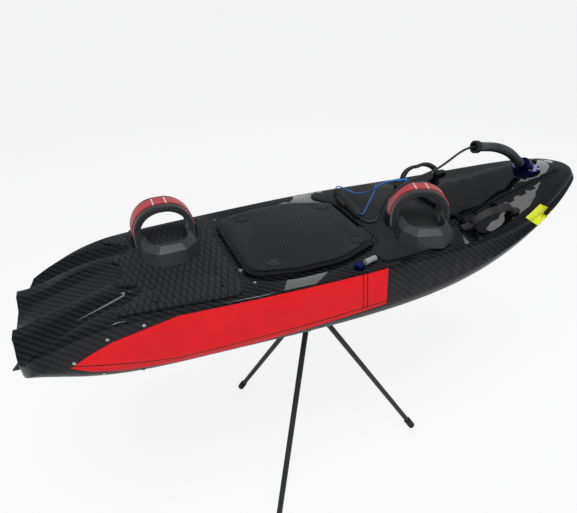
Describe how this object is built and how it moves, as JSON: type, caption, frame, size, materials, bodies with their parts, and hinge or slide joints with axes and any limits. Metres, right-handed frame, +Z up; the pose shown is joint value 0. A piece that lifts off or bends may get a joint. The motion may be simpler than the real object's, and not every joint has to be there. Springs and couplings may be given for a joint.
{
  "type": "petrol jet surfboard on a tripod stand",
  "caption": "Petrol jet surfboard with foot bindings, hatch, steering pole and throttle grip, on a folding tripod display stand.",
  "frame": {"origin": "on the floor, under the axis of the stand's hub", "axes": "+X to the nose, +Y to port, +Z up"},
  "size_m": [1.804, 0.7631, 1.157],
  "materials": {
    "carbon_gloss": "clear-coated carbon twill",
    "eva_foam": "ribbed EVA foam",
    "black_plastic": "moulded black plastic",
    "gloss_black": "piano black",
    "steel": "stainless",
    "aluminium": "machined",
    "blue_anodised": "blue anodised",
    "red_webbing": "woven strap",
    "padding": "neoprene cover",
    "black_rubber": "rubber",
    "blue_cord": "braided cord",
    "grey_plastic": "satin",
    "black_powder": "black powder coat"
  },
  "bodies": {
    "board": {"hull": "carbon_gloss", "intake_grille": "steel", "rear_pad": "eva_foam", "front_pad": "eva_foam", "engine_block": "aluminium", "fuel_tank": "black_plastic", "pump_stator": "aluminium", "jet_nozzle": "aluminium", "tail_fins": "carbon_gloss", "heel_block_rear": "eva_foam", "foot_loop_rear": "padding", "loop_strap_rear": "red_webbing", "strap_buckles_rear": "black_plastic", "heel_block_front": "eva_foam", "foot_loop_front": "padding", "loop_strap_front": "red_webbing", "strap_buckles_front": "black_plastic", "nose_flange": "blue_anodised", "steering_pole": "black_rubber", "pole_tip": "black_plastic", "tether_cable": "black_rubber", "blue_rope": "blue_cord", "rope_tie": "blue_cord", "rope_knot": "blue_cord", "rope_tail_far": "blue_cord", "rope_tail_near": "blue_cord", "throttle_grip": "black_rubber", "carry_handle_left": "black_rubber", "carry_handle_right": "black_rubber", "filler_neck": "blue_anodised", "filler_plug": "grey_plastic", "stand_plate": "black_powder", "stand_column": "black_powder", "stand_strips": "black_rubber", "stand_hub": "black_powder"},
    "hatch": {"hatch_lid": "gloss_black", "hatch_pad": "eva_foam", "hatch_latches": "black_plastic"},
    "impeller": {"impeller_shaft": "steel"},
    "leg_1": {"stand_leg_1": "black_powder", "stand_foot_1": "black_rubber"},
    "leg_2": {"stand_leg_2": "black_powder", "stand_foot_2": "black_rubber"},
    "leg_3": {"stand_leg_3": "black_powder", "stand_foot_3": "black_rubber"}
  },
  "joints": [
    {"name": "hatch_lift", "type": "slide", "parent": "board", "child": "hatch", "axis": [0, 0, 1], "range_m": [0, 0.25]},
    {"name": "impeller_spin", "type": "hinge", "parent": "board", "child": "impeller", "pos_m": [-0.655, 0, 0.849], "axis": [1, 0, 0], "continuous": true},
    {"name": "leg_fold_1", "type": "hinge", "parent": "board", "child": "leg_1", "pos_m": [-0.01436, 0.03947, 0.64], "axis": [-0.9397, -0.342, 0], "range_deg": [0, 32]},
    {"name": "leg_fold_2", "type": "hinge", "parent": "board", "child": "leg_2", "pos_m": [-0.027, -0.03217, 0.64], "axis": [0.766, -0.6428, 0], "range_deg": [0, 32]},
    {"name": "leg_fold_3", "type": "hinge", "parent": "board", "child": "leg_3", "pos_m": [0.04136, -0.00729, 0.64], "axis": [0.1736, 0.9848, 0], "range_deg": [0, 32]}
  ]
}
